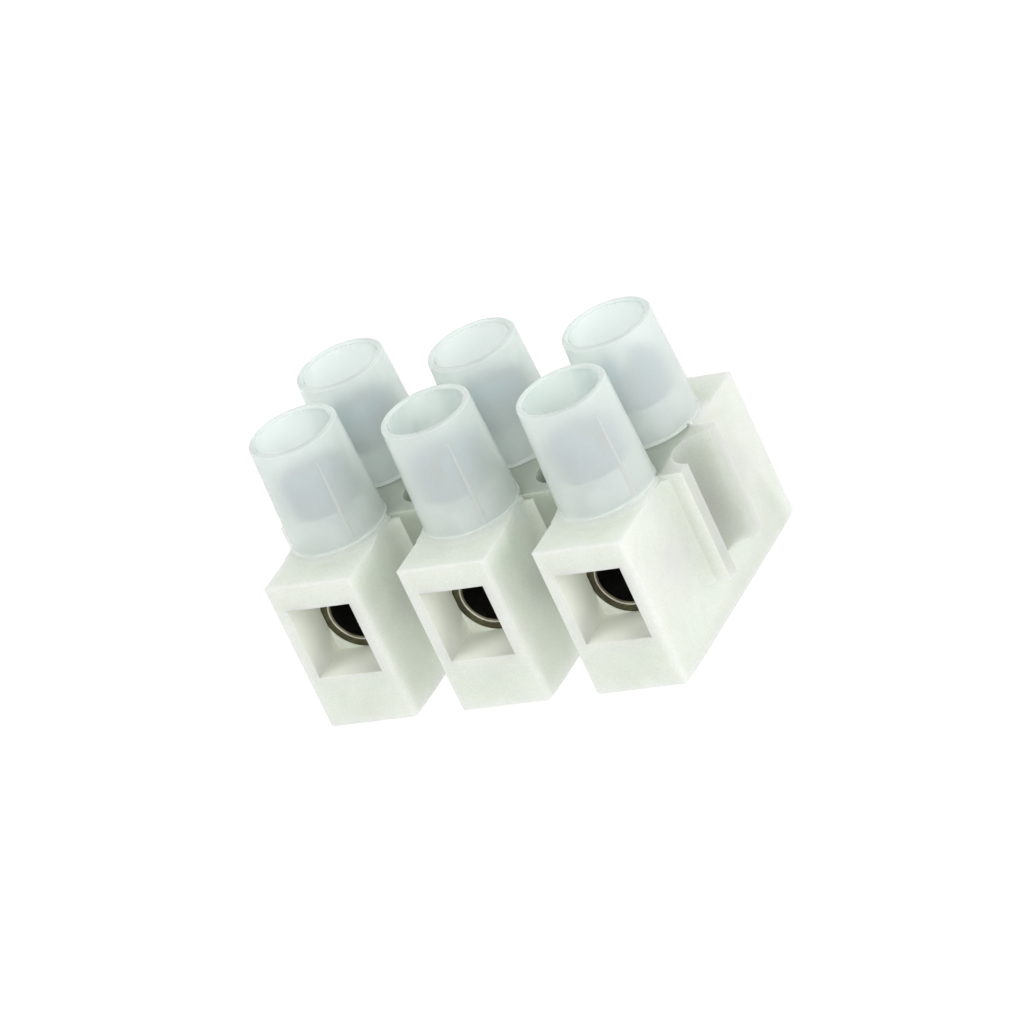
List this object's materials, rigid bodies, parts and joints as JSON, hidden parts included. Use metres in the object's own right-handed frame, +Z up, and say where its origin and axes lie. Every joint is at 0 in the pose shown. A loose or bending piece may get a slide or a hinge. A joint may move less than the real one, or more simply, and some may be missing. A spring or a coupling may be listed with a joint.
{
  "type": "terminal block",
  "caption": "Moulded translucent screw terminal strip with round screw towers, metal contact tubes and slotted clamp screws that hold wires pushed in from either side.",
  "frame": {"origin": "middle of the flat base", "axes": "+X along the strip, +Y from the front wire mouths to the rear ones, +Z up the towers"},
  "size_m": [0.03, 0.0188, 0.0188],
  "materials": {
    "natural_plastic": "natural milky translucent moulding, satin",
    "nickel_plated_brass": "dull nickel plate",
    "zinc_plated_steel": "bluish zinc plate"
  },
  "bodies": {
    "block": {"housing": "natural_plastic", "contact_tube_left": "nickel_plated_brass", "contact_tube_middle": "nickel_plated_brass", "contact_tube_right": "nickel_plated_brass"},
    "screw_front_left": {"clamp_screw_front_left": "zinc_plated_steel"},
    "screw_front_middle": {"clamp_screw_front_middle": "zinc_plated_steel"},
    "screw_front_right": {"clamp_screw_front_right": "zinc_plated_steel"},
    "screw_rear_left": {"clamp_screw_rear_left": "zinc_plated_steel"},
    "screw_rear_middle": {"clamp_screw_rear_middle": "zinc_plated_steel"},
    "screw_rear_right": {"clamp_screw_rear_right": "zinc_plated_steel"}
  },
  "joints": [
    {"name": "screw_front_left_travel", "type": "slide", "parent": "block", "child": "screw_front_left", "axis": [0, 0, 1], "range_m": [-0.0029, 0.0004]},
    {"name": "screw_front_middle_travel", "type": "slide", "parent": "block", "child": "screw_front_middle", "axis": [0, 0, 1], "range_m": [-0.0029, 0.0004]},
    {"name": "screw_front_right_travel", "type": "slide", "parent": "block", "child": "screw_front_right", "axis": [0, 0, 1], "range_m": [-0.0029, 0.0004]},
    {"name": "screw_rear_left_travel", "type": "slide", "parent": "block", "child": "screw_rear_left", "axis": [0, 0, 1], "range_m": [-0.0029, 0.0004]},
    {"name": "screw_rear_middle_travel", "type": "slide", "parent": "block", "child": "screw_rear_middle", "axis": [0, 0, 1], "range_m": [-0.0029, 0.0004]},
    {"name": "screw_rear_right_travel", "type": "slide", "parent": "block", "child": "screw_rear_right", "axis": [0, 0, 1], "range_m": [-0.0029, 0.0004]}
  ]
}
